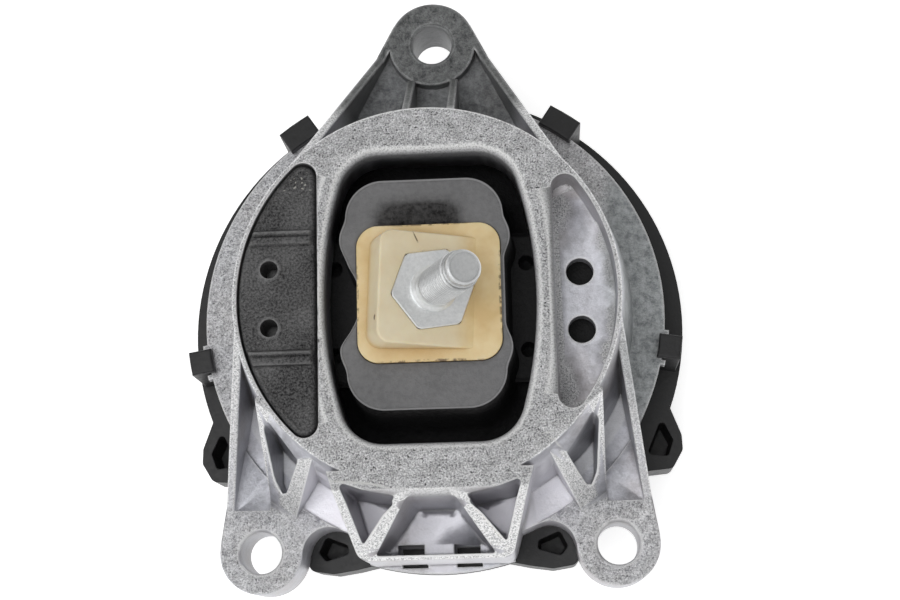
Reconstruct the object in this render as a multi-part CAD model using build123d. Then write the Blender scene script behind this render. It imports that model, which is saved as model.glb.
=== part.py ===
from build123d import *
import os
from math import acos, atan2, cos, degrees, hypot, radians, sin, sqrt

# Engine mount: a fluid-filled rubber mount in a ribbed die-cast housing with three ears.
# Millimetres, +Z up along the mount's own axis. The origin is on that axis, in the plane of
# the cover's underside. +Y points to the single ear, +X to the side that the stud leans to.

# Levels
cover_depth = 20.6          # underside of the cover to the top of its rim
flange_height = 17.4        # rim of the cover to the top of the flange and the ears
dome_height = 29.7          # flange to the flat top of the dome
roof_depth = 14.0           # thickness of the dome's roof round the opening
flange_web = 4.0            # thickness of the flange inside its skirt

# Housing: dome and flange
flange_radius = 61.7
flange_edge = 0.5
dome_radius = 49.3          # at the flat top
dome_flare = 4.1            # how much wider the dome is where it meets the flange
dome_edge = 0.8             # rounding of the dome's upper edge
casting_wall = 4.0
skirt_wall = 4.0
rib_edge = 0.5              # rounding of the ribs' upper edges

# Housing: opening over the core
core_offset = 0.9           # the core's centre lies this far towards +X
opening_half_width = 26.9   # at mid height of the bowed sides
opening_half_length = 37.4
opening_bow = 6.8           # how much narrower the corners are than the middle
opening_corner = 11.0
opening_lip = 2.6           # rounding of the opening's upper edge

# Housing: pockets for the stop pads
pocket_rim = 1.1            # metal between the pockets' arcs and the dome's edge
pocket_depth = 10.0
pocket_corner = 3.6
pocket_draft = 2.0
left_bar = 1.5              # metal between the opening and the left pocket
right_bar = 4.5
peg_bore = 7.1
peg_spacing = 15.1
left_peg_inset = 8.3        # from the pockets' arcs to their holes
right_peg_inset = 9.1
left_peg_shift = 0.2        # how far the holes lie off the middle, towards +Y
right_peg_shift = -1.0

# Housing: ears and arms
single_ear = (1.1, 77.4)
pair_half_spacing = 46.9
pair_back = 61.6            # the pair of ears lies this far behind the axis
ear_bore = 11.0
bore_chamfer = 0.7
single_ear_radius = 12.0
pair_ear_radius = 10.9
arm_inset = 2.0             # the arms' edges cut this deep into the dome's upper circle
neck_fillet = 7.0           # between the inner side of a pair arm and the flange
neck_share = 0.6            # most of that side's length that the fillet may take

# Housing: ribs
rib = 2.2
rib_run = 0.82              # share of an arm's edge over which its rib falls to the ear
rib_draft = 2.0
short_rib_x = 5.9
web_floor = 34.6            # floor of the pockets between ribs
arm_floor = 36.2            # the same outside the flange's circle
seam_floor = 37.0           # the shallow floor beside the box
v_outer = (43.3, -25.0)     # corners of the V between the two ribs of a pair arm
v_inner = (29.8, -40.2)
v_tip_outer = (44.4, -50.6)
v_tip_inner = (37.6, -53.0)
v_pocket = ((40.6, -30.4), (42.6, -31.4), (42.5, -43.5), (40.9, -47.6), (38.5, -47.6), (33.6, -40.0))
v_pocket_corner = 0.7
v_high = 47.5               # the V's top falls between these distances along the arm
v_low = 65.0

# Housing: open box behind the dome
box_half_width = 19.6
box_back = 65.2
box_wall = 1.8
box_corner = 3.0
box_floor = 36.2
box_bar_top = 50.0
box_shoulder = 49.5         # the box's top starts to fall at this distance from the axis
leg_start = (25.7, -44.0)
box_bay_top = (5.3, -50.6)  # the middle bay's corner at the dome
box_side_bay = ((8.6, -51.6), (22.9, -46.6), (18.5, -60.4))
bay_corner = 0.9
window_inner = 3.9          # the two windows in the box's floor, from the middle
window_outer = 10.8
window_depth = 2.8
window_height = 7.0
window_slot = 0.7           # how far the windows reach out under the box's back wall
back_lip = 5.9              # lip of the flange under the box, beyond the flange's edge
back_lip_thickness = 2.6

# Stop pad
pad_gap = 0.3
pad_below = 0.6             # top of the pad under the dome's top
pad_ridge = 0.8
pad_ridge_width = 3.8
pad_ridge_spacing = 31.0
pad_groove = 0.7            # groove along each ridge
pad_groove_inset = 1.1
pad_edge = 0.8
pad_inner_edge = 2.0        # larger rounding of the straight edge beside the core
pad_hole = 4.6
pad_collar = 0.8            # width of the raised collar round a hole
pad_collar_height = 0.3
peg_gap = 0.15
peg_head = 1.2
peg_head_height = 2.4
snap_slope = 30.0           # slope of the snap heads, in degrees

# Core, cap and stud
lean = 20.0                 # the stud leans this much from the axis, in degrees
lean_turn = -3.0            # and its lean is turned this much from +X
seat_x = 2.2                # centre of the cap's sloping face
seat_level = 73.1
cap_width = 28.0
cap_length = 28.6
cap_corner = 3.4
cap_draft = 3.0
cap_edge = 0.6
cap_wall = 1.8
brim_width = 36.3
brim_length = 35.2
brim_corner = 5.5
brim_thickness = 1.8
brim_level = 67.6
hex_across = 19.0
hex_turn = 12.0
hex_corner = 1.2
hex_proud = 0.4
thread_diameter = 10.0
collar_diameter = 11.4
collar_height = 1.2
stud_reach = 26.6           # from the hexagon's face to the tip
dog_diameter = 7.8
dog_length = 1.6
stud_root = 14.0            # length of the stud inside the core
tip_chamfer = 0.8
fit = 0.15
core_shoulder = 54.0        # the core is a block above this level and narrows below it
core_bottom = 40.0
core_foot_radius = 13.0
core_corner = 5.0

# Rubber block round the core, and the spring
block_top = 69.0
block_half_width = 20.0
block_half_length = 29.5
block_corner = 9.5
block_edge = 0.7
block_skin = 5.0            # rubber over the core
lobe_radius = 6.2
lobe_x = 15.4
lobe_y = 14.3
lobe_blend = 2.4            # rounding where the lobes and the waist meet the sides
waist_radius = 13.9         # hollow in the left side only
waist_x = 30.4
waist_y = -1.3
spring_skin = 1.5           # rubber under the core and on the ring
spring_top = 42.5           # upper surface of the spring where it leaves the core
spring_rim_top = 39.5       # and where it meets the ring
spring_inner = 22.0
spring_arch = 38.0          # radius at which the spring's underside starts to rise
ledge_level = 48.4
ledge_half_length = 20.0
ledge_corner = 3.0
ledge_hole = 4.1
ledge_hole_x = 25.3
ledge_hole_y = 11.6
ledge_hole_depth = 6.0

# Fluid chamber, from the top down
bore_gap = 0.3
ring_wall = 2.2
ring_height = 15.0
ring_flange = 3.0
upper_plate = 6.0
lower_plate = 5.0
track_radius = 46.5
track_width = 5.0
track_depth = 4.0
track_sweep = 300.0
port_length = 8.0
decoupler_radius = 24.0
decoupler_thickness = 2.2
decoupler_play = 0.4
grid_hole = 4.0
grid_radii = (9.0, 18.0)
grid_counts = (6, 12)
bead_height = 4.0
bead_width = 3.4
bead_ring_thickness = 0.9
bellows_wall = 1.6
bellows_fall = 6.4
bellows_fold = 7.0          # width of the outer fold
bellows_crown = 30.0
bellows_rise = 3.4
bellows_bend = 1.9

# Cover
cover_wall = 2.4
rim_out = 6.0               # from the flange's edge to the cover's rim
rim_thickness = 2.5
pan_wall = 2.7              # round the housing's skirt bore
pan_draft_run = 3.4         # how much narrower the pan is at its foot
pan_corner = 4.0
vent = 4.0
vent_out = 22.0             # from the axis to the vent
clip_inset = 1.2            # from the rim's edge to the hooks' outer face
clip_hook = 1.3             # how far the hooks reach in over the flange
clip_hook_height = 2.4
clip_gap = 0.3
clip_edge = 0.5
wide_clip = 9.6
narrow_clip = 6.3
wide_clip_angle = 34.3      # each side of +Y
narrow_clip_angle = 99.6
horn = 1.2                  # small horns on the flange beside the narrow clips
horn_height = 3.0
# Corners of the lugs and of their pockets: angle round the axis, reach beyond the rim
lug_depth = 14.0
lug_floor = 3.0
lug_draft = 3.0
lug_corner = 2.0
side_lug = ((-19.5, -1.5), (-25.6, 5.4), (-28.4, 7.4), (-32.8, 7.4), (-36.2, 2.2), (-38.0, -2.0))
side_lug_pocket = ((-23.8, -1.4), (-27.4, 3.9), (-31.0, 4.7), (-33.0, -0.6))
back_lug = ((-57.0, -1.5), (-59.0, 5.6), (-61.6, 7.2), (-66.0, 5.4), (-70.4, 2.2), (-76.0, -1.5))
back_lug_pocket = ((-60.7, -2.7), (-60.9, 2.0), (-63.2, 3.2), (-67.4, -1.2), (-66.2, -3.2))
lug_pocket_corner = 1.0


def raised(outline, bottom, top, draft=0.0):
    """A plan outline drawn from one level to another; a draft narrows it on the way."""
    return extrude(Pos(0, 0, bottom) * outline, top - bottom, taper=draft)


def plan(points, corner=0.0):
    """A flat outline through the given corners, all rounded alike."""
    face = make_face(Polyline(*points, close=True))
    return fillet(face.vertices(), corner) if corner else face


def disc(radius, centre=(0.0, 0.0)):
    return Pos(*centre) * Circle(radius)


def hoop(outer, inner, bottom, top):
    """A plain ring about the axis."""
    return raised(Circle(outer) - Circle(inner), bottom, top)


def turned(points):
    """A solid of revolution about the axis, from (radius, level) corners of its half section."""
    section = make_face(Polyline(*[(radius, 0, level) for radius, level in points], close=True))
    return revolve(section, Axis.Z)


def polar(radius, angle):
    return radius * cos(radians(angle)), radius * sin(radians(angle))


def mirrored(points):
    """The same corners on the other side of the plane X = 0."""
    return [(-x, y) for x, y in points]


def both_sides(shape):
    return shape + mirror(shape, Plane.YZ)


def sector(inner, outer, angle, width):
    """A flat patch between two radii, of even width, at an angle round the axis."""
    strip = Pos((inner + outer) / 2, 0) * Rectangle(outer - inner + width, width)
    return Rot(0, 0, angle) * (strip & (Circle(outer) - Circle(inner)))


def upright(start, end):
    """The upright plane through a line in plan: X along the line, Y up."""
    run_x, run_y = end[0] - start[0], end[1] - start[1]
    return Plane(origin=(*start, 0), x_dir=(run_x, run_y, 0), z_dir=(run_y, -run_x, 0))


def sloped_rib(start, start_level, end, end_level, foot, width):
    """A straight wall on a line in plan, whose top falls from one level to the other."""
    length = hypot(end[0] - start[0], end[1] - start[1])
    side = Polyline((0, foot), (length, foot), (length, end_level), (0, start_level), close=True)
    wall = extrude(upright(start, end) * make_face(side), width / 2, both=True)
    return fillet(wall.faces().sort_by(Axis.Z)[-1].edges().sort_by(SortBy.LENGTH)[-2:], rib_edge)


def under_slope(start, start_level, end, end_level, reach):
    """All space under a plane that falls along a line in plan, out to a reach each way."""
    length = hypot(end[0] - start[0], end[1] - start[1])
    fall = (start_level - end_level) / length
    foot = length + end_level / fall
    side = Polyline((-reach, 0), (foot, 0), (-reach, start_level + fall * reach), close=True)
    return extrude(upright(start, end) * make_face(side), reach, both=True)


# Levels, radii and places that several pieces share
flange_top = cover_depth + flange_height
dome_top = flange_top + dome_height
roof_underside = dome_top - roof_depth
web_underside = flange_top - flange_web
pocket_floor = dome_top - pocket_depth
rib_top = dome_top - dome_edge
ring_flange_bottom = web_underside - ring_flange
upper_plate_bottom = ring_flange_bottom - upper_plate
lower_plate_bottom = upper_plate_bottom - lower_plate
bead_bottom = lower_plate_bottom - bead_height
shoulder_level = bead_bottom - bead_ring_thickness
dome_foot_radius = dome_radius + dome_flare
pocket_radius = dome_radius - pocket_rim
arm_circle = dome_radius - arm_inset
skirt_bore = flange_radius - skirt_wall
stack_radius = skirt_bore - bore_gap
rim_radius = flange_radius + rim_out
pan_radius = skirt_bore + pan_wall
pan_foot_radius = pan_radius - pan_draft_run
pair_ear = (pair_half_spacing, -pair_back)
lean_direction = Vector(
    sin(radians(lean)) * cos(radians(lean_turn)),
    sin(radians(lean)) * sin(radians(lean_turn)),
    cos(radians(lean)),
)
seat = Plane(
    origin=(seat_x, 0, seat_level),
    x_dir=Vector(0, 0, 1).cross(lean_direction).cross(lean_direction),
    z_dir=lean_direction,
)


def dome_radius_at(level):
    """The dome's outer radius, which narrows evenly from its foot to its top."""
    return dome_foot_radius + (dome_radius - dome_foot_radius) * (level - flange_top) / dome_height


def opening_outline():
    """The opening: two bowed sides, two straight ends, rounded corners."""
    corner_x = opening_half_width - opening_bow
    length = opening_half_length
    right = ThreePointArc((corner_x, length), (opening_half_width, 0), (corner_x, -length))
    left = ThreePointArc((-corner_x, -length), (-opening_half_width, 0), (-corner_x, length))
    face = make_face([right, Line(right @ 1, left @ 0), left, Line(left @ 1, right @ 0)])
    return Pos(core_offset, 0) * fillet(face.vertices(), opening_corner)


def pocket_outline(bar, side, gap=0.0):
    """A segment of the pocket's circle beyond the bar beside the opening."""
    straight = opening_half_width + side * core_offset + bar + gap
    radius = pocket_radius - gap
    segment = Circle(radius) & Pos(straight + radius, 0) * Rectangle(2 * radius, 3 * radius)
    segment = fillet(segment.vertices(), pocket_corner - gap)
    return segment if side > 0 else mirror(segment, Plane.YZ)


def peg_places(side):
    inset, shift = (
        (right_peg_inset, right_peg_shift) if side > 0 else (left_peg_inset, left_peg_shift)
    )
    x = side * (pocket_radius - inset)
    return [(x, shift + peg_spacing / 2), (x, shift - peg_spacing / 2)]


def arm_line(ear, ear_radius, side, inset=0.0):
    """The straight edge of an arm, tangent to the ear and to the arms' inner circle.

    side is +1 to the left of the line from the axis to the ear, -1 to the right. The line runs
    from the point where it leaves the dome's top to the point where it touches the ear.
    """
    facing = atan2(ear[1], ear[0]) + side * acos((arm_circle - ear_radius) / hypot(*ear))
    out = (cos(facing), sin(facing))
    along = (side * out[1], -side * out[0])
    leaves = sqrt(dome_radius ** 2 - arm_circle ** 2)
    near = arm_circle - inset
    far = ear_radius - inset
    start = (near * out[0] + leaves * along[0], near * out[1] + leaves * along[1])
    end = (ear[0] + far * out[0], ear[1] + far * out[1])
    return start, end


def between(start, end, share):
    return tuple(a + share * (b - a) for a, b in zip(start, end))


def edge_rib(ear, ear_radius, side):
    """The rib along an arm's edge, which falls from the dome's top to the face of the ear."""
    start, end = arm_line(ear, ear_radius, side, rib / 2)
    stop = between(start, end, rib_run)
    return sloped_rib(start, rib_top, stop, flange_top, cover_depth, rib)


def ear_boss(ear, ear_radius):
    boss = raised(disc(ear_radius, ear), cover_depth, flange_top)
    return fillet(boss.edges().filter_by(GeomType.CIRCLE), flange_edge)


def single_arm():
    """The single ear's arm: a plate, the floor sunk in it, and its ear and four ribs."""
    left = arm_line(single_ear, single_ear_radius, 1)
    right = arm_line(single_ear, single_ear_radius, -1)
    plate = raised(plan([(0, 0), left[0], left[1], right[1], right[0]]), cover_depth, flange_top)
    left = arm_line(single_ear, single_ear_radius, 1, rib)
    right = arm_line(single_ear, single_ear_radius, -1, rib)
    floor = plan([(0, 0), left[0], left[1], right[1], right[0]])
    ribs = [edge_rib(single_ear, single_ear_radius, side) for side in (1, -1)]
    foot_y = single_ear[1] - sqrt(single_ear_radius ** 2 - short_rib_x ** 2)
    for side in (1, -1):
        x = single_ear[0] + side * short_rib_x
        top = (x, dome_radius - rib)
        ribs.append(sloped_rib(top, rib_top, (x, foot_y), flange_top, web_floor - rib, rib))
    return plate, raised(floor, web_floor, dome_top), ribs


def pair_arm():
    """The pair arm on the +X side: a plate, the floors sunk in it, and the ribs that stand."""
    start, end = arm_line(pair_ear, pair_ear_radius, 1)
    ear_inside = pair_ear[0] - pair_ear_radius
    neck = plan([start, end, pair_ear, (ear_inside, pair_ear[1]), v_inner])
    inner_corner = (ear_inside, -sqrt(flange_radius ** 2 - ear_inside ** 2))
    outline = neck + disc(flange_radius)
    neck_length = inner_corner[1] - pair_ear[1]
    corner = outline.vertices().sort_by_distance(inner_corner)[0]
    outline = fillet(corner, min(neck_fillet, neck_share * neck_length))
    plate = raised(outline, cover_depth, flange_top)
    rib_start, rib_end = arm_line(pair_ear, pair_ear_radius, 1, rib)
    stop = between(rib_start, rib_end, rib_run)
    outer = plan([(0, 0), rib_start, stop, v_tip_outer, v_outer])
    inner = plan([(0, 0), v_inner, v_tip_inner, (box_half_width, -box_back), leg_start])
    floors = [
        raised(outer & disc(flange_radius), web_floor, dome_top),
        raised(outer, arm_floor, dome_top),
        raised(inner & disc(flange_radius), seam_floor, dome_top),
    ]
    reach = hypot(*pair_ear)
    toward = (pair_ear[0] / reach, pair_ear[1] / reach)
    high = (v_high * toward[0], v_high * toward[1])
    low = (v_low * toward[0], v_low * toward[1])
    block = raised(plan([(0, 0), v_outer, v_tip_outer, v_tip_inner, v_inner]), cover_depth, dome_top)
    block &= under_slope(high, rib_top, low, flange_top, flange_radius)
    pocket = raised(plan(v_pocket, v_pocket_corner), dome_top, web_floor, rib_draft)
    return plate, floors, [edge_rib(pair_ear, pair_ear_radius, 1), block], pocket


def back_box():
    """The open box behind the dome: three bays between four legs and a bar, under one slope."""
    back = (box_half_width, -box_back)
    outline = plan([leg_start, back, *mirrored([back, leg_start])])
    corners = outline.vertices().sort_by(Axis.Y)[:2]
    box = raised(fillet(corners, box_corner), cover_depth, dome_top)
    box &= under_slope((0, -box_shoulder), rib_top, (0, -box_back), box_bar_top, flange_radius)
    inner_back = box_wall - box_back
    bay_foot = box_half_width - box_wall - rib
    bay = [box_bay_top, (bay_foot, inner_back), (-bay_foot, inner_back), *mirrored([box_bay_top])]
    bays = [plan(bay, bay_corner), plan(box_side_bay, bay_corner)]
    bays.append(plan(mirrored(box_side_bay), bay_corner))
    sunk = [raised(bay, dome_top, box_floor, rib_draft) for bay in bays]
    width = window_outer - window_inner
    middle = (window_outer + window_inner) / 2
    window = Pos(middle, inner_back + window_depth / 2) * Rectangle(width, window_depth)
    under_width = window_depth + box_wall + window_slot
    under = Pos(middle, inner_back + window_depth - under_width / 2) * Rectangle(width, under_width)
    windows = raised(window, cover_depth, dome_top)
    windows += raised(under, cover_depth, cover_depth + window_height)
    lip = Pos(0, -box_back) * Rectangle(2 * box_half_width, box_half_width)
    lip &= Circle(flange_radius + back_lip)
    box += raised(lip, cover_depth, cover_depth + back_lip_thickness)
    return box, sunk, both_sides(windows)


def make_upper_housing():
    """One die casting: dome, flange and skirt, three ears on ribbed arms, and the back box."""
    foot = dome_radius_at(cover_depth)
    dome = turned([(0, cover_depth), (foot, cover_depth), (dome_radius, dome_top), (0, dome_top)])
    dome = fillet(dome.edges().filter_by(GeomType.CIRCLE).sort_by(Axis.Z)[-1], dome_edge)
    flange = raised(disc(flange_radius), cover_depth, flange_top)
    flange = fillet(flange.edges().filter_by(GeomType.CIRCLE).sort_by(Axis.Z)[-1], flange_edge)
    front_plate, front_floor, front_ribs = single_arm()
    plate, floors, ribs, pocket = pair_arm()
    box, bays, windows = back_box()
    body = flange + front_plate + both_sides(plate)
    body -= front_floor
    for floor in floors:
        body -= both_sides(floor)
    body += front_ribs
    body += [both_sides(one) for one in ribs]
    body = body + box - bays - windows - both_sides(pocket)
    body += [ear_boss(single_ear, single_ear_radius), both_sides(ear_boss(pair_ear, pair_ear_radius))]
    body -= raised(Circle(pocket_radius), flange_top, dome_top)
    opening = opening_outline()
    dome -= raised(opening, cover_depth, dome_top)
    rim = dome.faces().sort_by(Axis.Z)[-1].inner_wires()[0]
    dome = fillet(rim.edges(), opening_lip)
    body += dome
    cavity_foot = dome_radius_at(web_underside) - casting_wall
    cavity_top = dome_radius_at(roof_underside) - casting_wall
    body -= turned(
        [
            (0, cover_depth),
            (skirt_bore, cover_depth),
            (skirt_bore, web_underside),
            (cavity_foot, web_underside),
            (cavity_top, roof_underside),
            (0, roof_underside),
        ]
    )
    body -= raised(opening, cover_depth, pocket_floor)
    for bar, side in ((left_bar, -1), (right_bar, 1)):
        body -= raised(pocket_outline(bar, side), dome_top, pocket_floor, pocket_draft)
        for place in peg_places(side):
            body -= raised(disc(peg_bore / 2, place), roof_underside, dome_top)
    for ear in (single_ear, pair_ear, (-pair_ear[0], pair_ear[1])):
        body -= raised(disc(ear_bore / 2, ear), cover_depth, flange_top)
        cone = Cone(ear_bore / 2, ear_bore / 2 + bore_chamfer, bore_chamfer)
        body -= Pos(*ear, flange_top - bore_chamfer / 2) * cone
        body -= Pos(*ear, cover_depth + bore_chamfer / 2) * Rot(180, 0, 0) * cone
    for side in (1, -1):
        for edge in (1, -1):
            step = degrees((narrow_clip / 2 + clip_gap + horn / 2) / flange_radius)
            angle = 90 + side * narrow_clip_angle + edge * step
            patch = sector(flange_radius - horn, flange_radius + horn, angle, horn)
            body += raised(patch, flange_top - horn_height, flange_top)
    return body


def make_stop_pad():
    """The rubber pad in the left pocket: two ridges, two collared holes, two pegs that snap in."""
    top = dome_top - pad_below
    outline = pocket_outline(left_bar, -1, pad_gap)
    pad = raised(outline, top, pocket_floor, pocket_draft)
    pad = fillet(pad.faces().sort_by(Axis.Z)[-1].edges(), pad_edge)
    corner = (outline.bounding_box().max.X, 0, top)
    inward = (Align.MAX, Align.CENTER, Align.MAX)
    limit = Pos(*corner) * Box(2 * pocket_radius, 2 * pocket_radius, 2 * pocket_depth, align=inward)
    edge = limit.edges().filter_by(Axis.Y).sort_by_distance(corner)[0]
    pad &= fillet(edge, pad_inner_edge)
    inside = offset(outline, -pad_edge)
    for y in (pad_ridge_spacing / 2, -pad_ridge_spacing / 2):
        ridge = inside & Pos(0, left_peg_shift + y) * Rectangle(2 * pocket_radius, pad_ridge_width)
        groove_y = left_peg_shift + y + pad_ridge_width / 2 - pad_groove_inset
        groove = Pos(0, groove_y) * Rectangle(2 * pocket_radius, pad_groove)
        pad += raised(ridge, top - pad_edge, top + pad_ridge, rib_draft)
        pad -= raised(groove, top + pad_ridge - pad_groove / 2, top + pad_ridge)
    for place in peg_places(-1):
        pad += raised(disc(pad_hole / 2 + pad_collar, place), pocket_floor, top + pad_collar_height)
        pad += raised(disc(peg_bore / 2 - peg_gap, place), roof_underside - peg_head_height, pocket_floor)
        head = disc(peg_bore / 2 + peg_head - peg_gap, place)
        pad += raised(head, roof_underside, roof_underside - peg_head_height, snap_slope)
        pad -= raised(disc(pad_hole / 2, place), pocket_floor, top + pad_ridge)
    return pad


def on_seat(outline, start, depth, draft=0.0):
    """An outline on the cap's sloping face, drawn along the stud's axis."""
    return extrude(seat * Pos(0, 0, start) * outline, depth, taper=draft)


def cap_body(inset, start):
    """The cap's drafted block, or its inside, from a depth under the sloping face down."""
    outline = RectangleRounded(cap_width - 2 * inset, cap_length - 2 * inset, cap_corner - inset)
    return on_seat(outline, -start, start - stud_root - cap_wall, -cap_draft)


def above(level):
    """All space above a level, out to well beyond the cap."""
    return raised(Circle(2 * cap_width), level, level + 2 * cap_width)


def hexagon(gap=0.0):
    outline = RegularPolygon(hex_across / 2 + gap, 6, major_radius=False, rotation=hex_turn)
    return fillet(outline.vertices(), hex_corner)


def make_core_cap():
    """The moulded cap on the core: a leaning block with a flat brim, open for the hexagon."""
    body = cap_body(0, 0)
    along = Axis(seat.origin, seat.z_dir)
    body = fillet(body.faces().sort_by(along)[-1].edges(), cap_edge)
    brim = Pos(core_offset, 0) * RectangleRounded(brim_width, brim_length, brim_corner)
    cap = (body & above(brim_level)) + raised(brim, brim_level, brim_level + brim_thickness)
    cap -= cap_body(cap_wall, cap_wall)
    return cap - on_seat(hexagon(fit), -2 * cap_wall, 4 * cap_wall)


def make_inner_core():
    """The aluminium core in the rubber: a leaning head, a block and a tapered foot."""
    width = 2 * (block_half_width - block_skin)
    length = 2 * (block_half_length - block_skin)
    outline = RectangleRounded(width, length, core_corner)
    core = raised(outline, core_shoulder, brim_level - block_skin)
    foot = loft([Pos(0, 0, core_shoulder) * outline, Pos(0, 0, core_bottom) * Circle(core_foot_radius)])
    core += [foot, cap_body(cap_wall + fit, cap_wall)]
    return core - on_seat(Circle(thread_diameter / 2), -cap_wall - stud_root, stud_root + 1)


def make_stud():
    """The steel stud: a root in the core, a hexagon, a collar, a thread and a dog point."""
    thread = Circle(thread_diameter / 2)
    stud = on_seat(thread, -cap_wall - stud_root, stud_root + cap_wall + stud_reach - dog_length)
    stud = chamfer(stud.edges().filter_by(GeomType.CIRCLE), tip_chamfer)
    stud += on_seat(hexagon(), -cap_wall, cap_wall + hex_proud)
    stud += on_seat(Circle(collar_diameter / 2), 0, hex_proud + collar_height)
    dog = on_seat(Circle(dog_diameter / 2), stud_reach - 2 * dog_length, 2 * dog_length)
    along = Axis(seat.origin, seat.z_dir)
    dog = chamfer(dog.edges().filter_by(GeomType.CIRCLE).sort_by(along)[-1], tip_chamfer / 2)
    return stud + dog


def ring_inside(level):
    """Inner radius of the spring's ring, which runs parallel to the housing's wall."""
    return dome_radius_at(level) - casting_wall - bore_gap - ring_wall


def make_spring_ring():
    """The ring to which the spring is bonded: a tapered sleeve with a flange."""
    top = web_underside + ring_height
    return turned(
        [
            (ring_inside(web_underside), ring_flange_bottom),
            (stack_radius, ring_flange_bottom),
            (stack_radius, web_underside),
            (ring_inside(web_underside) + ring_wall, web_underside),
            (ring_inside(top) + ring_wall, top),
            (ring_inside(top), top),
            (ring_inside(web_underside), web_underside),
        ]
    )


def block_outline():
    """The rubber block seen from above: a rounded rectangle with four lobes and one waist."""
    outline = RectangleRounded(2 * block_half_width, 2 * block_half_length, block_corner)
    for y in (lobe_y, -lobe_y):
        outline += both_sides(disc(lobe_radius, (-lobe_x, y)))
    outline -= mirror(disc(waist_radius, (waist_x, waist_y)), Plane.YZ)
    straight = block_half_length - block_corner
    junctions = [v for v in outline.vertices() if abs(v.Y) < straight - fit]
    return fillet(junctions, lobe_blend)


def make_main_spring():
    """The rubber spring: a cone from the ring to the core, a block over the core, two ledges."""
    ring_top = web_underside + ring_height
    wall = ring_inside(web_underside)
    core_under = core_bottom - spring_skin
    spring = turned(
        [
            (0, core_under),
            (core_foot_radius, core_under),
            (spring_arch, ring_flange_bottom),
            (wall, ring_flange_bottom),
            (wall, web_underside),
            (ring_inside(ring_top), ring_top),
            (ring_inside(ring_top) - spring_skin, ring_top),
            (ring_inside(spring_rim_top) - 2 * spring_skin, spring_rim_top),
            (spring_inner, spring_top),
            (0, spring_top),
        ]
    )
    reach = ring_inside(ledge_level) - spring_skin / 2
    ledge = Rectangle(2 * reach, 2 * ledge_half_length) & Circle(reach)
    ledge = fillet(ledge.vertices(), ledge_corner)
    spring += raised(ledge, spring_rim_top, ledge_level)
    block = raised(block_outline(), core_bottom, block_top)
    block = chamfer(block.faces().sort_by(Axis.Z)[-1].edges(), block_edge)
    spring += block
    brim = Pos(core_offset, 0) * RectangleRounded(brim_width + fit, brim_length + fit, brim_corner)
    spring -= raised(brim, brim_level, block_top)
    for x in (ledge_hole_x, -ledge_hole_x):
        for y in (ledge_hole_y, -ledge_hole_y):
            hole = disc(ledge_hole / 2, (x, y))
            spring -= raised(hole, ledge_level - ledge_hole_depth, ledge_level)
    root = on_seat(Circle(thread_diameter / 2), -cap_wall - stud_root, stud_root)
    head = on_seat(hexagon(fit), -cap_wall, cap_wall)
    return spring - make_inner_core() - root - head


def grid():
    """The plan of the holes over and under the decoupler."""
    holes = disc(grid_hole / 2)
    for radius, count in zip(grid_radii, grid_counts):
        holes += PolarLocations(radius, count) * Circle(grid_hole / 2)
    return holes


def track():
    """The plan of the long channel between the two chambers."""
    band = Circle(track_radius + track_width / 2) - Circle(track_radius - track_width / 2)
    closed = (360 - track_sweep) / 2
    outer = 2 * track_radius
    wedge = make_face(Polyline((0, 0), polar(outer, -closed), polar(outer, closed), close=True))
    return band - wedge


def port(end):
    """The plan of the port at one end of the channel."""
    closed = (360 - track_sweep) / 2
    inner, outer = track_radius - track_width / 2, track_radius + track_width / 2
    shift = degrees(port_length / 2 / track_radius)
    return sector(inner, outer, end * (closed + shift), port_length)


def make_channel_plate_upper():
    """The upper channel plate: grid, half of the decoupler's seat, the channel and its port."""
    plate = raised(Circle(stack_radius), upper_plate_bottom, ring_flange_bottom)
    seat_depth = (decoupler_thickness + decoupler_play) / 2
    plate -= raised(Circle(decoupler_radius + bore_gap), upper_plate_bottom, upper_plate_bottom + seat_depth)
    plate -= raised(grid(), upper_plate_bottom, ring_flange_bottom)
    plate -= raised(track(), upper_plate_bottom, upper_plate_bottom + track_depth)
    return plate - raised(port(1), upper_plate_bottom, ring_flange_bottom)


def make_channel_plate_lower():
    """The lower channel plate: the same grid, the other half of the seat and the second port."""
    plate = raised(Circle(stack_radius), lower_plate_bottom, upper_plate_bottom)
    seat_depth = (decoupler_thickness + decoupler_play) / 2
    plate -= raised(Circle(decoupler_radius + bore_gap), upper_plate_bottom - seat_depth, upper_plate_bottom)
    plate -= raised(grid(), lower_plate_bottom, upper_plate_bottom)
    return plate - raised(port(-1), lower_plate_bottom, upper_plate_bottom)


def make_decoupler():
    """The loose rubber disc between the grids; it lies on the lower one."""
    bottom = upper_plate_bottom - (decoupler_thickness + decoupler_play) / 2
    disc_body = raised(Circle(decoupler_radius), bottom, bottom + decoupler_thickness)
    return fillet(disc_body.edges().filter_by(GeomType.CIRCLE), decoupler_thickness / 4)


def make_bellows():
    """The thin rubber bellows under the plates, with a square bead round its edge."""
    bead_inside = stack_radius - bead_width
    top = lower_plate_bottom - bellows_wall / 2
    line = FilletPolyline(
        (bead_inside + bead_width / 2, 0, top),
        (bead_inside - bellows_wall, 0, top),
        (bead_inside - 2 * bellows_wall, 0, top - bellows_fall),
        (bellows_crown + bellows_fold, 0, top - bellows_fall),
        (bellows_crown, 0, top - bellows_fall + bellows_rise),
        (-bellows_wall, 0, top - bellows_fall + bellows_rise),
        radius=bellows_bend,
    )
    section = make_face(offset(line, bellows_wall / 2, side=Side.BOTH))
    skin = revolve(split(section, Plane.YZ), Axis.Z)
    return skin + hoop(stack_radius, bead_inside, bead_bottom, lower_plate_bottom)


def make_bellows_ring():
    """The flat steel ring between the bellows' bead and the cover."""
    return hoop(stack_radius, stack_radius - bead_width, shoulder_level, bead_bottom)


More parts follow.
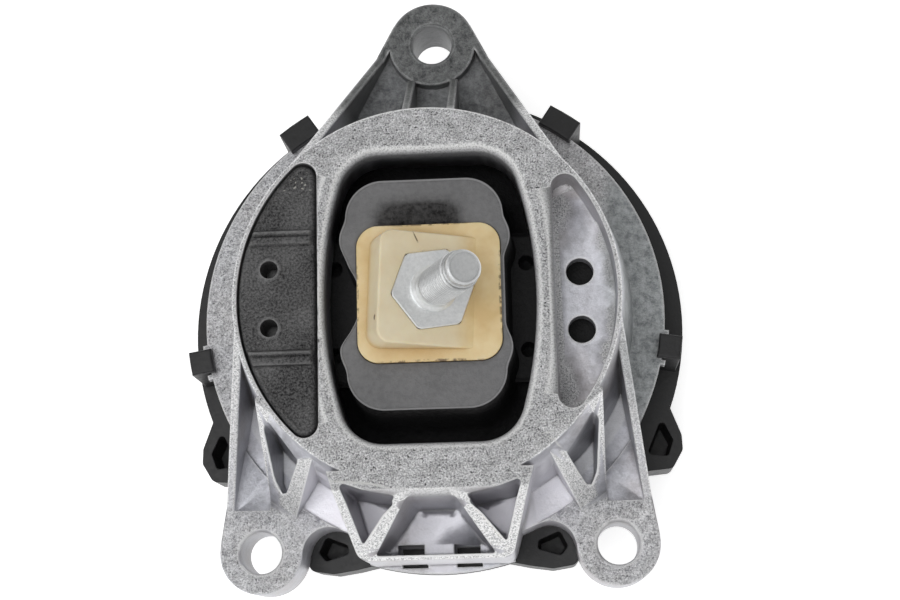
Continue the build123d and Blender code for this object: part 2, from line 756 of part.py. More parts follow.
def around(corners, side):
    """Plan corners from (angle, reach beyond the rim) pairs, on the +X or on the -X side."""
    points = [polar(rim_radius + reach, angle) for angle, reach in corners]
    return points if side > 0 else mirrored(points)


def lug(corners, pocket_corners, side):
    """A lug outside the cover's rim, and the drafted pocket that is sunk in it."""
    inside = pan_radius - rim_radius
    root = [(corners[-1][0], inside), (corners[0][0], inside)]
    outline = plan(around((*corners, *root), side))
    tips = [v for v in outline.vertices() if hypot(v.X, v.Y) > rim_radius + lug_corner]
    body = raised(fillet(tips, lug_corner), cover_depth - lug_depth, cover_depth)
    hollow = plan(around(pocket_corners, side), lug_pocket_corner)
    return body, raised(hollow, cover_depth, cover_depth - lug_depth + lug_floor, lug_draft)


def make_base_cover():
    """The moulded cover: a pan with a rim, four hooks over the flange and four lugs."""
    rim_bottom = cover_depth - rim_thickness
    cover = turned([(0, 0), (pan_foot_radius, 0), (pan_radius, rim_bottom), (0, rim_bottom)])
    cover = fillet(cover.edges().filter_by(GeomType.CIRCLE).sort_by(Axis.Z)[0], pan_corner)
    cover += raised(Circle(rim_radius), rim_bottom, cover_depth)
    hollows = []
    for corners, pocket in ((side_lug, side_lug_pocket), (back_lug, back_lug_pocket)):
        for side in (1, -1):
            body, hollow = lug(corners, pocket, side)
            cover += body
            hollows.append(hollow)
    cover -= hollows
    cover -= turned(
        [
            (0, cover_wall),
            (pan_foot_radius - cover_wall, cover_wall),
            (stack_radius - bead_width, shoulder_level),
            (skirt_bore, shoulder_level),
            (skirt_bore, cover_depth),
            (0, cover_depth),
        ]
    )
    cover -= raised(disc(vent / 2, (0, -vent_out)), 0, cover_wall)
    hook_bottom = flange_top + clip_gap
    for angle, width in ((wide_clip_angle, wide_clip), (narrow_clip_angle, narrow_clip)):
        for side in (1, -1):
            outside = rim_radius - clip_inset
            leg = sector(flange_radius + clip_gap, outside, 90 + side * angle, width)
            hook = sector(flange_radius - clip_hook, outside, 90 + side * angle, width)
            clip = raised(leg, rim_bottom, hook_bottom + clip_hook_height)
            clip += raised(hook, hook_bottom, hook_bottom + clip_hook_height)
            cover += fillet(clip.faces().sort_by(Axis.Z)[-1].edges(), clip_edge)
    return cover


pieces = {
    "upper_housing": make_upper_housing,
    "stop_pad": make_stop_pad,
    "core_cap": make_core_cap,
    "stud": make_stud,
    "inner_core": make_inner_core,
    "main_spring": make_main_spring,
    "spring_ring": make_spring_ring,
    "channel_plate_upper": make_channel_plate_upper,
    "decoupler": make_decoupler,
    "channel_plate_lower": make_channel_plate_lower,
    "bellows": make_bellows,
    "bellows_ring": make_bellows_ring,
    "base_cover": make_base_cover,
}

os.makedirs("parts", exist_ok=True)
for name, make in pieces.items():
    export_step(make(), f"parts/{name}.step")
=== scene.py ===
from math import radians
import bmesh
import bpy
import numpy as np
from mathutils import Matrix, Vector


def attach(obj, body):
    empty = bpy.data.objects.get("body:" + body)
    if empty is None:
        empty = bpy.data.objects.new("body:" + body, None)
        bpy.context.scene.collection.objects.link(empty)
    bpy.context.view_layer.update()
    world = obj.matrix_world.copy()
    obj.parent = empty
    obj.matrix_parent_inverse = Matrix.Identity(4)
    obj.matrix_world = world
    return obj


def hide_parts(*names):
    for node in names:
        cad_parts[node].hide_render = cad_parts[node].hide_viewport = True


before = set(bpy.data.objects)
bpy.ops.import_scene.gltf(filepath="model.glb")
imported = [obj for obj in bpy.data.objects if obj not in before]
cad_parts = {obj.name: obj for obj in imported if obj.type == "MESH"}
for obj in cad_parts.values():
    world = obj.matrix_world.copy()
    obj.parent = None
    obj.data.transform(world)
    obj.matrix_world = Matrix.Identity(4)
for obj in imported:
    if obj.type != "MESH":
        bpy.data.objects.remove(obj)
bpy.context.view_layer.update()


# Camera, floor and light
# The mount stands on a white table and is looked at from above, a little from the front. A soft
# box hangs over it to the left and a weaker one stands in front. The room is brightest up to the
# left and in front, with a dark band round the bright part.
camera_data = bpy.data.cameras.new("camera")
camera_data.lens = 68.0
camera_data.sensor_width = 36.0
camera_data.clip_start = 0.02
camera = bpy.data.objects.new("camera", camera_data)
bpy.context.scene.collection.objects.link(camera)
camera_right = (0.99796, -0.02362, -0.05929)
camera_up = (0.03543, 0.97776, 0.20673)
camera_back = (0.05309, -0.20841, 0.97660)
turn = Matrix((camera_right, camera_up, camera_back)).transposed().to_4x4()
camera.matrix_world = Matrix.Translation((0.02876, -0.09089, 0.48507)) @ turn
bpy.context.scene.camera = camera
bpy.context.scene.view_settings.view_transform = "Standard"

table_finish = bpy.data.materials.new("white_table")
table_finish.use_nodes = True
table_shader = table_finish.node_tree.nodes["Principled BSDF"]
table_shader.inputs["Base Color"].default_value = (0.93, 0.93, 0.93, 1)
table_shader.inputs["Roughness"].default_value = 0.9
table_shader.inputs["Specular IOR Level"].default_value = 0.1
table_shader.inputs["Emission Color"].default_value = (1, 1, 1, 1)
table_shader.inputs["Emission Strength"].default_value = 0.62
table_mesh = bpy.data.meshes.new("table")
table_mesh.from_pydata([(-3, -3, 0), (3, -3, 0), (3, 3, 0), (-3, 3, 0)], [], [(0, 1, 2, 3)])
table_mesh.materials.append(table_finish)
table = bpy.data.objects.new("table", table_mesh)
bpy.context.scene.collection.objects.link(table)

room = bpy.data.worlds.new("white_room")
bpy.context.scene.world = room
room.use_nodes = True
room_nodes = room.node_tree.nodes
room_links = room.node_tree.links
room_direction = room_nodes.new("ShaderNodeTexCoord")
room_toward = room_nodes.new("ShaderNodeVectorMath")
room_toward.operation = "DOT_PRODUCT"
room_toward.inputs[1].default_value = (-0.45, -0.35, 0.82)
room_ramp = room_nodes.new("ShaderNodeValToRGB")
room_stops = room_ramp.color_ramp.elements
room_stops.remove(room_stops[1])
room_stops[0].color = (0.40, 0.40, 0.40, 1)
for place, shade in ((0.30, 0.65), (0.50, 0.30), (0.66, 0.22), (0.80, 0.62), (0.93, 0.95)):
    room_stops.new(place).color = (shade, shade, shade, 1)
room_links.new(room_direction.outputs["Generated"], room_toward.inputs[0])
room_links.new(room_toward.outputs["Value"], room_ramp.inputs["Fac"])
room_links.new(room_ramp.outputs["Color"], room_nodes["Background"].inputs["Color"])


def soft_box(name, place, aim, width, height, watts):
    """A rectangular area light at a place, turned so that its face looks at the aim."""
    data = bpy.data.lights.new(name, "AREA")
    data.shape = "RECTANGLE"
    data.size = width
    data.size_y = height
    data.energy = watts
    lamp = bpy.data.objects.new(name, data)
    bpy.context.scene.collection.objects.link(lamp)
    lamp.location = place
    lamp.rotation_euler = (Vector(place) - Vector(aim)).to_track_quat("Z", "Y").to_euler()


soft_box("overhead_box", (-0.20, -0.14, 1.0), (0, 0, 0.04), 0.6, 0.6, 2.6)
soft_box("front_fill", (0.2, -0.9, 0.5), (0, 0, 0.04), 0.7, 0.4, 0.8)


# Cover
# The injection-moulded pan of glass-filled black plastic that closes the mount from below.
# Its four hooks reach over the flange; its skin has a fine satin grain.
def finish(name, colour, roughness, metal=0.0):
    """A new material with an even colour, roughness and metalness."""
    material = bpy.data.materials.new(name)
    material.use_nodes = True
    shader = material.node_tree.nodes["Principled BSDF"]
    shader.inputs["Base Color"].default_value = (*colour, 1)
    shader.inputs["Roughness"].default_value = roughness
    shader.inputs["Metallic"].default_value = metal
    return material


def shader_input(material, name):
    """The socket of this name on the material's shader."""
    return material.node_tree.nodes["Principled BSDF"].inputs[name]


def node(material, kind, **values):
    """A node with its inputs set, and its properties where the name isn't an input's."""
    made = material.node_tree.nodes.new("ShaderNode" + kind)
    for key, value in values.items():
        if key in made.inputs:
            made.inputs[key].default_value = value
        else:
            setattr(made, key, value)
    return made


def join(material, start, end):
    """A link from one socket to another."""
    material.node_tree.links.new(start, end)


def grain(material, scale, detail=3.0, rough=0.6):
    """Noise over the object's own coordinates, in metres: the socket of its value."""
    places = node(material, "TexCoord")
    noise = node(material, "TexNoise", Scale=scale, Detail=detail, Roughness=rough)
    join(material, places.outputs["Object"], noise.inputs["Vector"])
    return noise.outputs["Fac"]


def steps(material, value, *stops):
    """A value turned into a colour or a grey through rising (position, colour or grey) stops."""
    ramp = node(material, "ValToRGB")
    elements = ramp.color_ramp.elements
    elements.remove(elements[1])
    for index, (position, shade) in enumerate(stops):
        element = elements.new(position) if index else elements[0]
        element.position = position
        element.color = (*shade, 1) if isinstance(shade, tuple) else (shade, shade, shade, 1)
    join(material, value, ramp.inputs["Fac"])
    return ramp.outputs["Color"]


def add_bumps(material, *layers, edge=0.0):
    """Bump layers, each (value socket, height in metres), over edges rounded by a radius."""
    below = None
    if edge:
        below = node(material, "Bevel", samples=4, Radius=edge)
    for value, height in layers:
        bump = node(material, "Bump", Strength=1.0, Distance=height)
        join(material, value, bump.inputs["Height"])
        if below:
            join(material, below.outputs["Normal"], bump.inputs["Normal"])
        below = bump
    join(material, below.outputs["Normal"], shader_input(material, "Normal"))


def dress(name, material):
    """A CAD node gets the finish in all of its material slots."""
    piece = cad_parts[name]
    piece.data.materials.clear()
    piece.data.materials.append(material)


black_plastic = finish("black_plastic", (0.020, 0.020, 0.022), 0.5)
fibre = grain(black_plastic, 800.0, 4.0, 0.7)
join(
    black_plastic,
    steps(black_plastic, fibre, (0.3, (0.003, 0.003, 0.003)), (0.7, (0.012, 0.012, 0.013))),
    shader_input(black_plastic, "Base Color"),
)
join(
    black_plastic,
    steps(black_plastic, fibre, (0.3, 0.38), (0.7, 0.56)),
    shader_input(black_plastic, "Roughness"),
)
add_bumps(black_plastic, (fibre, 0.00008), edge=0.0005)
dress("base_cover", black_plastic)


# Bellows and channel plates
# Under the spring two aluminium plates form the fluid's channel, with a loose rubber disc
# between them. A thin rubber bellows, clamped by its bead on a steel ring, closes the fluid in.
def patch(points):
    """Vertices and four-cornered faces of a grid of points whose last column joins the first."""
    rows, columns = points.shape[:2]
    index = np.arange(rows * columns).reshape(rows, columns)
    beside = np.roll(index, -1, axis=1)
    faces = np.stack([index[:-1], beside[:-1], beside[1:], index[1:]], axis=-1)
    return points.reshape(-1, 3), faces.reshape(-1, 4)


def turned(profile, columns=192):
    """A profile of (radius, level) points in mm, turned about the mount's axis.

    The point at angle a is (radius * cos a, radius * sin a, level)."""
    angle = np.linspace(0, 2 * np.pi, columns, endpoint=False)
    radius, level = np.array(profile, float).T[:, :, None]
    ones = np.ones_like(angle)
    return np.stack([radius * np.cos(angle), radius * np.sin(angle), level * ones], axis=-1)


def rise(value, start, end):
    """0 before the start, 1 after the end, and 3t^2 - 2t^3 between them."""
    share = np.clip((value - start) / (end - start), 0, 1)
    return share * share * (3 - 2 * share)


def merge(mesh, turn_out=True):
    """Vertices closer than a thousandth of a mm become one; faces can be turned to point outwards."""
    work = bmesh.new()
    work.from_mesh(mesh)
    bmesh.ops.remove_doubles(work, verts=work.verts, dist=1e-6)
    if turn_out:
        bmesh.ops.recalc_face_normals(work, faces=work.faces)
    work.to_mesh(mesh)
    work.free()


def closed_mesh(name, grids):
    """One mesh from closed grids in mm, with its doubles merged and its faces pointing outwards."""
    vertices, faces, count = [], [], 0
    for grid in grids:
        corners, cells = patch(grid)
        vertices.append(corners / 1000)
        faces.append(cells + count)
        count += len(corners)
    mesh = bpy.data.meshes.new(name)
    mesh.from_pydata(np.concatenate(vertices).tolist(), [], np.concatenate(faces).tolist())
    merge(mesh)
    return mesh


def build(name, grids, material, slot, *stands_for, sharp=35.0):
    """One object on the mount's body from grids in mm, in place of CAD nodes."""
    mesh = closed_mesh(name, grids)
    mesh.shade_smooth()
    mesh.set_sharp_from_angle(angle=radians(sharp))
    mesh.materials.append(material)
    piece = bpy.data.objects.new(name, mesh)
    bpy.context.scene.collection.objects.link(piece)
    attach(piece, "root")
    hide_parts(*stands_for)


chamber_rubber = finish("chamber_rubber", (0.035, 0.035, 0.036), 0.6)
chamber_grain = grain(chamber_rubber, 900.0, 4.0, 0.7)
join(
    chamber_rubber,
    steps(chamber_rubber, chamber_grain, (0.3, (0.025, 0.025, 0.026)), (0.7, (0.050, 0.050, 0.052))),
    shader_input(chamber_rubber, "Base Color"),
)
add_bumps(chamber_rubber, (chamber_grain, 0.00008))

bellows_fold, bellows_half_wall = 12.8, 0.8
bellows_r = np.concatenate([np.linspace(0, 28, 8), np.linspace(29, 54, 76)])
bellows_z = bellows_fold + 3.4 * (1 - rise(bellows_r, 30, 37)) + 6.4 * rise(bellows_r, 50.4, 52.8)
bellows_top = np.stack([bellows_r, bellows_z + bellows_half_wall], axis=1)
bellows_bottom = np.stack([bellows_r, bellows_z - bellows_half_wall], axis=1)[::-1]
bead = [(54.1, 20.0), (57.2, 20.0), (57.4, 19.8), (57.4, 16.2), (57.2, 16.0), (54.2, 16.0), (54.0, 16.2)]
bellows_section = np.concatenate([bellows_top, bead, bellows_bottom])
build("bellows_skin", [turned(bellows_section)], chamber_rubber, "bellows_rubber", "bellows")

disc_flat, disc_round, disc_middle, disc_top, disc_bottom = 23.45, 0.55, 24.8, 25.9, 23.7
disc_turn = np.radians(np.arange(0, 91, 15))
rim_r = disc_flat + disc_round * np.sin(disc_turn)
rim_z = disc_top - disc_round + disc_round * np.cos(disc_turn)
disc_rim = np.stack([rim_r, rim_z], axis=1)
disc_foot = disc_rim[::-1] * (1, -1) + (0, 2 * disc_middle)
disc_section = np.concatenate([[(0, disc_top)], disc_rim, disc_foot, [(0, disc_bottom)]])
build("loose_disc", [turned(disc_section)], chamber_rubber, "decoupler_rubber", "decoupler")

plate_metal = finish("plate_metal", (0.40, 0.41, 0.42), 0.4, 0.9)
join(
    plate_metal,
    steps(plate_metal, grain(plate_metal, 300.0), (0.3, (0.32, 0.32, 0.33)), (0.7, (0.50, 0.50, 0.51))),
    shader_input(plate_metal, "Base Color"),
)
# The metal pieces that nobody sees share one plain finish.
for hidden in ("inner_core", "spring_ring", "channel_plate_upper", "channel_plate_lower", "bellows_ring"):
    dress(hidden, plate_metal)


# Spring
# Natural rubber moulded in one shot round the core and into the steel ring: a cone, two flat
# ledges, and the block that stops the core's travel, with the mould's flash along its top edge.
block_x, block_y, block_corner, block_top = 20.0, 29.5, 9.5, 69.0
lobe_x, lobe_y, lobe_radius = 15.4, 14.3, 6.2
waist_x, waist_y, waist_radius = -30.4, -1.3, 13.9
brim_x, brim_y, brim_corner, brim_shift, brim_seat = 18.15, 17.6, 5.5, 0.9, 67.5
foot_reach, cone_radius, cone_high, cone_fall = 3.2, 43.6, 43.2, 3.7
dip_x, dip_half_width, dip_depth = -1.5, 9.5, 0.9


def soft_least(first, second, reach):
    """The lesser of two values, rounded off by h(1 - h) times the reach where they are close."""
    share = np.clip(0.5 + 0.5 * (second - first) / reach, 0, 1)
    return second + share * (first - second) - reach * share * (1 - share)


def from_rectangle(x, y, half_x, half_y, corner):
    """Distance from a rounded rectangle's edge, negative inside.

    It is how far a point lies past the rectangle of the corners' middles, less their radius."""
    over_x, over_y = np.abs(x) - half_x + corner, np.abs(y) - half_y + corner
    outside = np.hypot(np.maximum(over_x, 0), np.maximum(over_y, 0))
    return outside + np.minimum(np.maximum(over_x, over_y), 0) - corner


def from_block(x, y):
    """Distance from the block's edge: a rectangle and four lobes joined softly, less the waist."""
    lobes = np.hypot(np.abs(x) - lobe_x, np.abs(y) - lobe_y) - lobe_radius
    joined = soft_least(from_rectangle(x, y, block_x, block_y, block_corner), lobes, 1.6)
    waist = np.hypot(x - waist_x, y - waist_y) - waist_radius
    return -soft_least(-joined, waist, 1.6)


def edge_radius(distance, angle):
    """How far out along each angle a distance function turns positive, found by halving."""
    low, high = np.zeros_like(angle), np.full_like(angle, 45.0)
    for _ in range(40):
        middle = (low + high) / 2
        inside = distance(middle * np.cos(angle), middle * np.sin(angle)) < 0
        low, high = np.where(inside, middle, low), np.where(inside, high, middle)
    return low


spring_angle = np.linspace(0, 2 * np.pi, 480, endpoint=False)
block_edge = edge_radius(from_block, spring_angle)
brim_edge = edge_radius(
    lambda x, y: from_rectangle(x - brim_shift, y, brim_x, brim_y, brim_corner), spring_angle
)
spring_rows = [(0 * block_edge, brim_seat), (0.5 * brim_edge, brim_seat), (brim_edge - 0.05, brim_seat)]
spring_rows += [(brim_edge + 0.05, block_top - 0.25), (brim_edge + 0.35, block_top)]
spring_rows = [(np.minimum(radius, block_edge - 1.2), level) for radius, level in spring_rows]
inner = spring_rows[-1][0]
for share in (0.2, 0.4, 0.6, 0.8, 1.0):
    spring_rows.append((inner + share * (block_edge - 0.9 - inner), block_top))
flash = [(-0.70, 0.0), (-0.55, -0.02), (-0.45, 0.14), (-0.30, 0.25)]
flash += [(-0.04, 0.24), (0.05, 0.0), (-0.02, -0.25)]
wall = [(0.02, -1.2), (0.10, -3.5), (0.16, -6.5), (0.36, -7.0), (0.42, -9.5), (0.60, -13.0), (0.9, -17.0)]
foot = [(1.3, -20.5), (2.0, -23.5), (foot_reach, -25.6)]
spring_rows += [(block_edge + out, block_top + down) for out, down in flash + wall + foot]
for share in (0.25, 0.5, 0.75):
    cone_r = block_edge + foot_reach + share * (cone_radius - foot_reach - block_edge)
    spring_rows.append((cone_r, cone_high - cone_fall * share))
round_rows = [(43.7, 39.5), (43.9, 48.5), (44.3, 49.0), (45.0, 49.0), (45.4, 48.6), (47.45, 34.0)]
round_rows += [(47.45, 31.0), (38.0, 31.0), (30.0, 33.6), (20.0, 37.2), (13.0, 38.5), (0.0, 38.5)]
spring_rows += [(radius + 0 * block_edge, level) for radius, level in round_rows]
spring_r = np.stack([radius for radius, level in spring_rows])
spring_z = np.stack([level + 0 * block_edge for radius, level in spring_rows])
spring_x, spring_y = spring_r * np.cos(spring_angle), spring_r * np.sin(spring_angle)
dip = np.exp(-(((spring_x - dip_x) / dip_half_width) ** 4))
dip = dip * (1 - rise(spring_y, 17.5, 26.0)) * (spring_y > 12)
spring_z -= dip_depth * dip * (spring_z > block_top - 0.5)
cone_and_block = np.stack([spring_x, spring_y, spring_z], axis=-1)


def sink_holes(x, y, z, places, radius, depth, cell):
    """Round holes in a grid: points within 0.6 cell of the edge move onto it, those inside sink."""
    for centre_x, centre_y in places:
        away_x, away_y = x - centre_x, y - centre_y
        distance = np.maximum(np.hypot(away_x, away_y), 1e-6)
        pull = np.where(np.abs(distance - radius) < 0.6 * cell, radius / distance, 1)
        x, y = centre_x + away_x * pull, centre_y + away_y * pull
        z = np.where(distance < radius - 0.6 * cell, z - depth, z)
    return x, y, z


def closed_below(x, y, z, bottom, inset=0.0):
    """A grid over a plan made a closed shell: its border goes down and in to one middle point."""
    x, y, z = (np.pad(values, 2, mode="edge") for values in (x, y, z))
    middle_x, middle_y = x.mean(), y.mean()
    for ring, share in ((1, inset), (0, 1.0)):
        border = np.zeros(x.shape, bool)
        border[ring, :] = border[-1 - ring, :] = border[:, ring] = border[:, -1 - ring] = True
        x = np.where(border, x + share * (middle_x - x), x)
        y = np.where(border, y + share * (middle_y - y), y)
        z = np.where(border, bottom, z)
    seam = np.stack([x, y, z], axis=-1)
    return np.concatenate([seam, seam[:, :1] * 0 + (middle_x, middle_y, bottom)], axis=1)


ledge_middle, ledge_top, ledge_bottom = 30.0, 48.4, 39.0
ledge_half_x, ledge_half_y, ledge_corner, ledge_cell = 14.0, 20.0, 3.0, 0.35
ledge_hole_x, ledge_hole_y, ledge_hole_radius, ledge_hole_depth = 25.3, 11.6, 2.05, 6.0
straight_x, straight_y = ledge_half_x - ledge_corner, ledge_half_y - ledge_corner
ledge_holes = [(ledge_hole_x - ledge_middle, y) for y in (ledge_hole_y, -ledge_hole_y)]
ledge_grids = []
for side in (1, -1):
    ledge_x, ledge_y = np.meshgrid(
        np.linspace(-ledge_half_x, ledge_half_x, 81),
        np.linspace(-ledge_half_y, ledge_half_y, 115),
        indexing="ij",
    )
    over_x, over_y = np.abs(ledge_x) - straight_x, np.abs(ledge_y) - straight_y
    beyond = np.maximum(np.hypot(over_x, over_y), 1e-6)
    pulled = np.where((over_x > 0) & (over_y > 0), np.minimum(1, np.maximum(over_x, over_y) / beyond), 1)
    ledge_x = np.where(pulled < 1, np.sign(ledge_x) * (straight_x + over_x * pulled), ledge_x)
    ledge_y = np.where(pulled < 1, np.sign(ledge_y) * (straight_y + over_y * pulled), ledge_y)
    depth_in = -from_rectangle(ledge_x, ledge_y, ledge_half_x, ledge_half_y, ledge_corner)
    ledge_z = ledge_top - 0.9 * (1 - rise(depth_in, 0, 1.4))
    ledge_x, ledge_y, ledge_z = sink_holes(
        ledge_x, ledge_y, ledge_z, ledge_holes, ledge_hole_radius, ledge_hole_depth, ledge_cell
    )
    ledge_grids.append(closed_below(side * (ledge_x + ledge_middle), ledge_y, ledge_z, ledge_bottom))

spring_rubber = finish("spring_rubber", (0.065, 0.064, 0.065), 0.62)
dust = grain(spring_rubber, 700.0, 4.0, 0.7)
bloom = grain(spring_rubber, 45.0, 3.0, 0.6)
specks = grain(spring_rubber, 1300.0, 0.0, 0.5)


def blend_in(material, share, first, second, kind="MIX"):
    """Two colours mixed by a share; each is a socket, a colour or a grey."""
    mix = node(material, "Mix", data_type="RGBA", blend_type=kind)
    for value, socket in ((share, mix.inputs["Factor"]), (first, mix.inputs[6]), (second, mix.inputs[7])):
        if isinstance(value, bpy.types.NodeSocket):
            join(material, value, socket)
        elif isinstance(value, tuple):
            socket.default_value = (*value, 1)
        else:
            socket.default_value = value
    return mix.outputs[2]


def level(material):
    """Height above the table in tenths of a metre."""
    places = node(material, "TexCoord")
    parts = node(material, "SeparateXYZ")
    scaled = node(material, "Math", operation="MULTIPLY")
    scaled.inputs[1].default_value = 10.0
    join(material, places.outputs["Object"], parts.inputs[0])
    join(material, parts.outputs["Z"], scaled.inputs[0])
    return scaled.outputs[0]


spring_dark = steps(spring_rubber, dust, (0.30, (0.008, 0.008, 0.009)), (0.75, (0.022, 0.022, 0.023)))
spring_grey = steps(spring_rubber, dust, (0.38, (0.008, 0.008, 0.008)), (0.62, (0.042, 0.041, 0.041)))
spring_grey = blend_in(
    spring_rubber, 0.5, spring_grey,
    steps(spring_rubber, bloom, (0.38, (0.011, 0.010, 0.010)), (0.62, (0.036, 0.034, 0.035))),
)
spring_grey = blend_in(
    spring_rubber, steps(spring_rubber, specks, (0.76, 0.0), (0.80, 0.15)), spring_grey, (0.20, 0.20, 0.20)
)
spring_grey = blend_in(
    spring_rubber,
    steps(spring_rubber, level(spring_rubber), (0.6905, 0.0), (0.6915, 1.0)),
    spring_grey,
    (0.26, 0.26, 0.265),
)
join(
    spring_rubber,
    blend_in(
        spring_rubber,
        steps(spring_rubber, level(spring_rubber), (0.43, 0.0), (0.60, 0.35), (0.685, 1.0)),
        spring_dark,
        spring_grey,
    ),
    shader_input(spring_rubber, "Base Color"),
)
join(
    spring_rubber,
    steps(spring_rubber, dust, (0.3, 0.55), (0.7, 0.70)),
    shader_input(spring_rubber, "Roughness"),
)
spring_sheen = blend_in(
    spring_rubber, 0.5,
    steps(spring_rubber, dust, (0.40, 0.0), (0.60, 0.75)),
    steps(spring_rubber, bloom, (0.40, 0.0), (0.60, 0.65)),
)
below_block = steps(spring_rubber, level(spring_rubber), (0.60, 1.0), (0.66, 0.0))
spring_sheen = blend_in(spring_rubber, below_block, spring_sheen, (0.4, 0.4, 0.4))
join(spring_rubber, spring_sheen, shader_input(spring_rubber, "Specular IOR Level"))
add_bumps(spring_rubber, (bloom, 0.0009), (dust, 0.00030))
spring_grids = [cone_and_block, *ledge_grids]
build("rubber_spring", spring_grids, spring_rubber, "spring_rubber", "main_spring", sharp=50.0)


# Housing
# The die-cast aluminium housing: dome, flange and three ears on ribbed arms. Its upper faces
# are shot-blasted and speckled; the pockets between the ribs keep the smoother, slightly
# lilac skin of the die, faintly clouded with brown. Light and shade are painted in too: the
# bay floors lighter; the right flange, the single ear's arm, upright walls and corners
# darker; a highlight along the opening's lip; and sharp edges bright, partly from wear and
# partly as painted highlight.
def facing_up(material):
    """1 where the surface looks straight up, 0 where it is upright."""
    geometry = node(material, "NewGeometry")
    parts = node(material, "SeparateXYZ")
    join(material, geometry.outputs["Normal"], parts.inputs[0])
    return parts.outputs["Z"]


def spot(material, centre, half_length, half_width, turned_by=0.0):
    """An elliptical spot in plan: 1 in its middle, 0 at its edge. Lengths are in mm."""
    places = node(material, "TexCoord")
    mapping = node(material, "Mapping", vector_type="TEXTURE")
    mapping.inputs["Location"].default_value = (centre[0] / 1000, centre[1] / 1000, 0)
    mapping.inputs["Rotation"].default_value = (0, 0, radians(turned_by))
    mapping.inputs["Scale"].default_value = (half_length / 1000, half_width / 1000, 100)
    ball = node(material, "TexGradient", gradient_type="SPHERICAL")
    join(material, places.outputs["Object"], mapping.inputs["Vector"])
    join(material, mapping.outputs["Vector"], ball.inputs["Vector"])
    return ball.outputs["Fac"]


def both(material, first, second):
    """The product of two shares."""
    return blend_in(material, 1.0, first, second, "MULTIPLY")


cast = finish("cast_aluminium", (0.6, 0.6, 0.6), 0.4, 0.95)
upward = facing_up(cast)
height = level(cast)
below_roof = steps(cast, height, (0.60, 1.0), (0.65, 0.0))
rib_top = both(
    cast,
    steps(cast, upward, (0.42, 0.0), (0.50, 1.0), (0.85, 1.0), (0.95, 0.0)),
    steps(cast, height, (0.382, 0.0), (0.39, 1.0)),
)
blasted = both(
    cast,
    steps(cast, upward, (0.75, 0.0), (0.90, 1.0)),
    steps(cast, height, (0.371, 0.0), (0.377, 0.8), (0.384, 0.8), (0.390, 0.0), (0.655, 0.0), (0.665, 1.0)),
)
blasted = blend_in(cast, rib_top, blasted, (1, 1, 1))
speckle = grain(cast, 2200.0, 3.0, 0.8)
mottle = grain(cast, 420.0, 6.0, 0.8)
cloud = grain(cast, 42.0, 3.0, 0.55)
pits = grain(cast, 1100.0, 3.0, 0.7)
top_colour = steps(
    cast, speckle, (0.38, (0.10, 0.10, 0.105)), (0.49, (0.50, 0.50, 0.51)), (0.58, (0.98, 0.98, 0.98))
)
top_colour = blend_in(
    cast, 0.40, top_colour, steps(cast, mottle, (0.38, (0.20, 0.20, 0.21)), (0.60, (0.90, 0.90, 0.92)))
)
top_colour = blend_in(
    cast, steps(cast, pits, (0.34, 0.9), (0.39, 0.0)), top_colour, (0.05, 0.05, 0.05)
)
top_colour = blend_in(
    cast, rib_top, top_colour, steps(cast, speckle, (0.38, (0.36, 0.36, 0.37)), (0.56, (0.98, 0.98, 0.98)))
)
skin_colour = steps(
    cast, cloud, (0.38, (0.46, 0.43, 0.44)), (0.50, (0.56, 0.56, 0.61)), (0.62, (0.68, 0.69, 0.75))
)
skin_colour = blend_in(
    cast, 0.35, skin_colour, steps(cast, mottle, (0.38, (0.22, 0.22, 0.22)), (0.62, (0.78, 0.78, 0.82)))
)
colour = blend_in(cast, blasted, skin_colour, top_colour)
# The bay floors below the roof are painted pale lilac: the die's skin, lightened as painted light where the
# deep floors lie in shade.
for bay_x, bay_y, share in (
    (17.0, -53.0, 1.0),
    (-17.0, -53.0, 1.0),
    (30.0, -51.0, 0.8),
    (-30.0, -51.0, 0.8),
    (0.0, -58.0, 0.5),
):
    bay_painted_light = steps(cast, spot(cast, (bay_x, bay_y), 9, 11), (0.0, 0.0), (0.2, share))
    bay_painted_light = blend_in(cast, blasted, both(cast, bay_painted_light, below_roof), (0, 0, 0))
    colour = blend_in(cast, bay_painted_light, colour, (0.80, 0.79, 0.84))
# The right flange below the roof keeps the smooth skin but is painted darker: painted shade for the dark
# room it reflects.
flange_painted_shade = both(cast, steps(cast, spot(cast, (64, 12), 20, 56), (0.0, 0.0), (0.2, 1.0)), below_roof)
colour = blend_in(
    cast, flange_painted_shade, colour, steps(cast, mottle, (0.38, (0.24, 0.255, 0.26)), (0.60, (0.52, 0.54, 0.55)))
)
# The single ear's arm below the roof is painted dark grey: painted shade for the dark room it reflects.
arm_painted_shade = both(cast, steps(cast, spot(cast, (1, 76), 44, 30), (0.0, 0.0), (0.18, 0.85)), below_roof)
colour = blend_in(
    cast, arm_painted_shade, colour, steps(cast, mottle, (0.38, (0.035, 0.038, 0.038)), (0.60, (0.16, 0.167, 0.162)))
)
# Upright walls are painted dark grey: painted shade.
upright = steps(cast, upward, (0.10, 0.3), (0.40, 0.0))
colour = blend_in(cast, upright, colour, (0.12, 0.12, 0.125))
